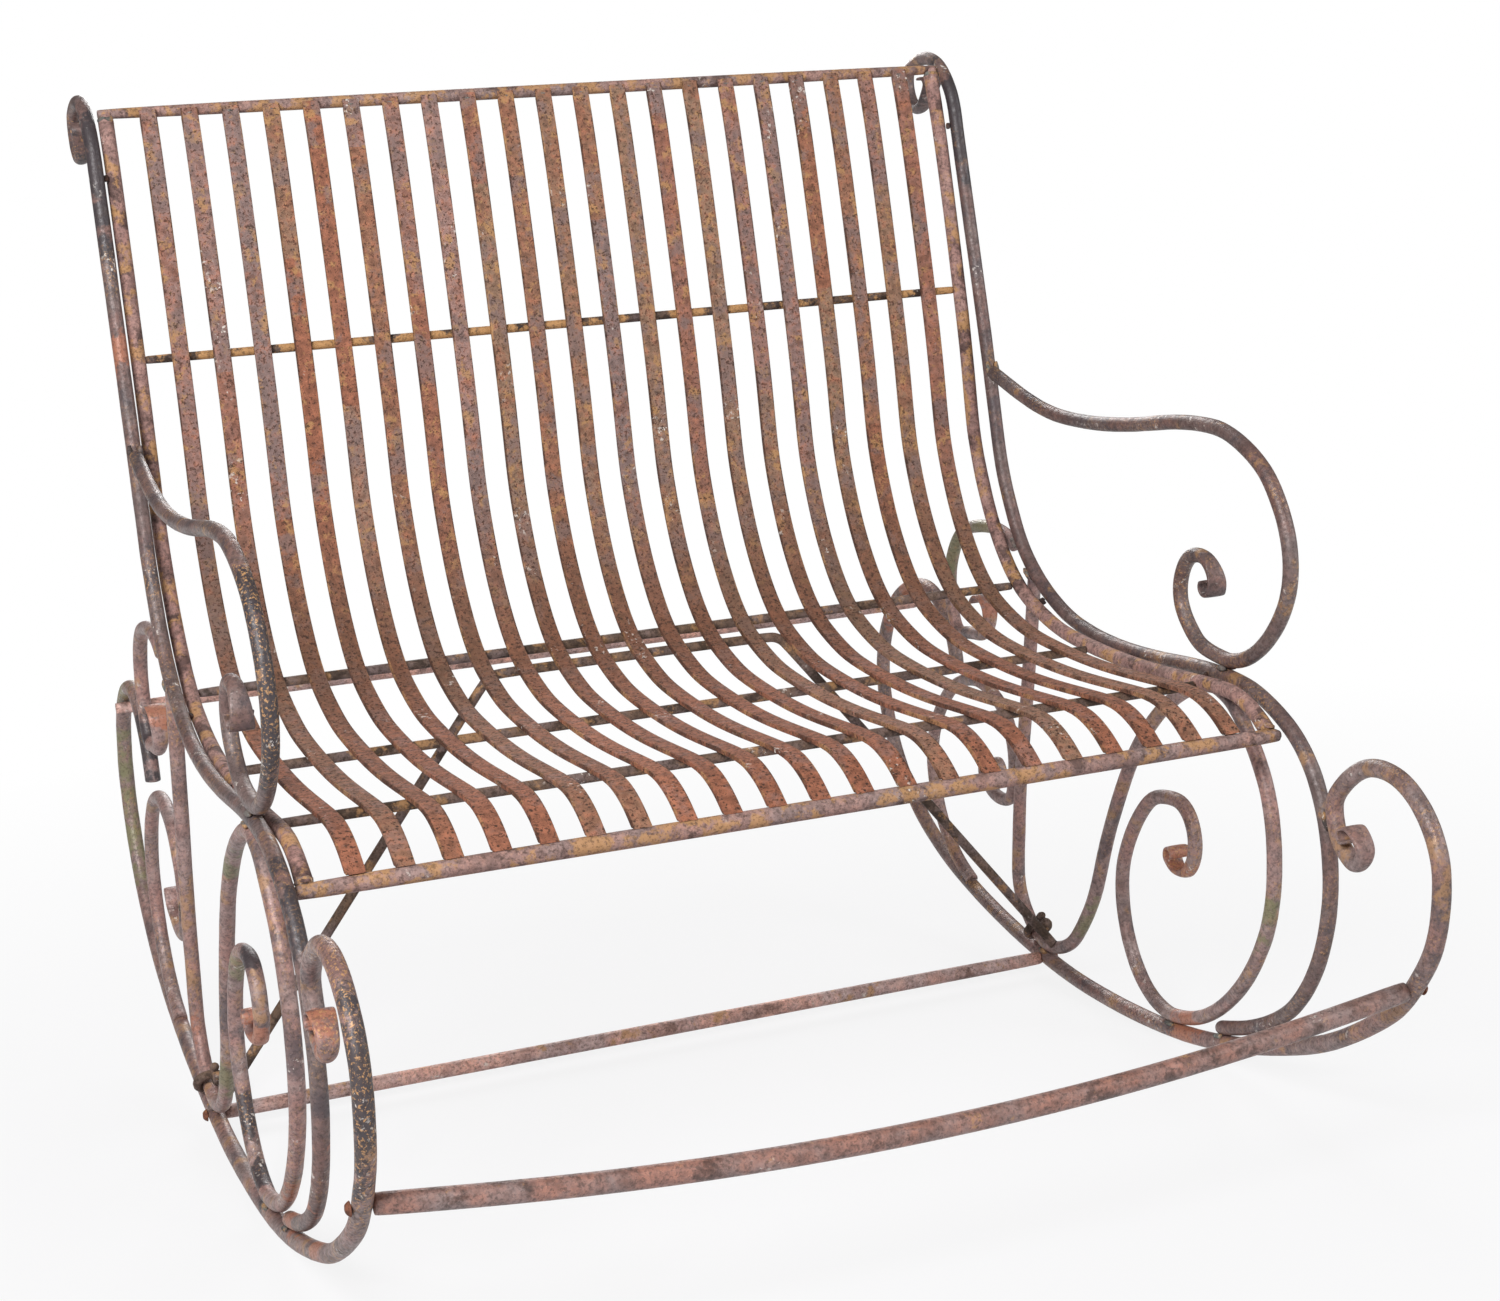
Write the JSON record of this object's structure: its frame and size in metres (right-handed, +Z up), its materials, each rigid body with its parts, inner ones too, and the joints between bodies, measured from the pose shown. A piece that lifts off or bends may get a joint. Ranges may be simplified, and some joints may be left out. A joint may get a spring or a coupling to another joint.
{
  "type": "rocking garden bench",
  "caption": "Rocking garden bench of bent iron bar with a slatted seat and back, scrolled end frames with arm loops, curved rockers and a brace under the seat.",
  "frame": {"origin": "on the ground, at the middle of the bench's outline seen from above", "axes": "+Z up, +X to the right of someone who faces the bench, +Y from the seat's front to its back"},
  "size_m": [1.026, 1.2412, 1.0948],
  "materials": {
    "frame_bars": "rusted, with worn remains of dark paint",
    "rockers": "rusted and worn",
    "side_rails": "rusted, with worn remains of dark paint",
    "lugs": "dark and rough",
    "rivets": "dark rust",
    "slats": "rusted and pitted",
    "end_rails": "rusted, worn smooth by use",
    "seat_bars": "dark rust",
    "tie_bars": "rusted, worn smooth by use"
  },
  "bodies": {
    "root": {"brace": "seat_bars", "foot_bar": "tie_bars", "front_rail": "end_rails", "front_seat_bar": "seat_bars", "left_arm": "frame_bars", "left_leg_scroll": "frame_bars", "left_links": "lugs", "left_lower_scroll": "frame_bars", "left_rivets": "rivets", "left_rocker": "rockers", "left_side_bar": "frame_bars", "left_side_rail": "side_rails", "left_upper_scroll": "frame_bars", "mid_back_bar": "seat_bars", "rear_seat_bar": "seat_bars", "rear_stretcher": "tie_bars", "right_arm": "frame_bars", "right_leg_scroll": "frame_bars", "right_links": "lugs", "right_lower_scroll": "frame_bars", "right_rivets": "rivets", "right_rocker": "rockers", "right_side_bar": "frame_bars", "right_side_rail": "side_rails", "right_upper_scroll": "frame_bars", "seat_back_bar": "seat_bars", "slat_01": "slats", "slat_02": "slats", "slat_03": "slats", "slat_04": "slats", "slat_05": "slats", "slat_06": "slats", "slat_07": "slats", "slat_08": "slats", "slat_09": "slats", "slat_10": "slats", "slat_11": "slats", "slat_12": "slats", "slat_13": "slats", "slat_14": "slats", "slat_15": "slats", "slat_16": "slats", "slat_17": "slats", "slat_18": "slats", "slat_19": "slats", "slat_20": "slats", "slat_21": "slats", "stretcher": "tie_bars", "top_rail": "end_rails"}
  },
  "joints": []
}
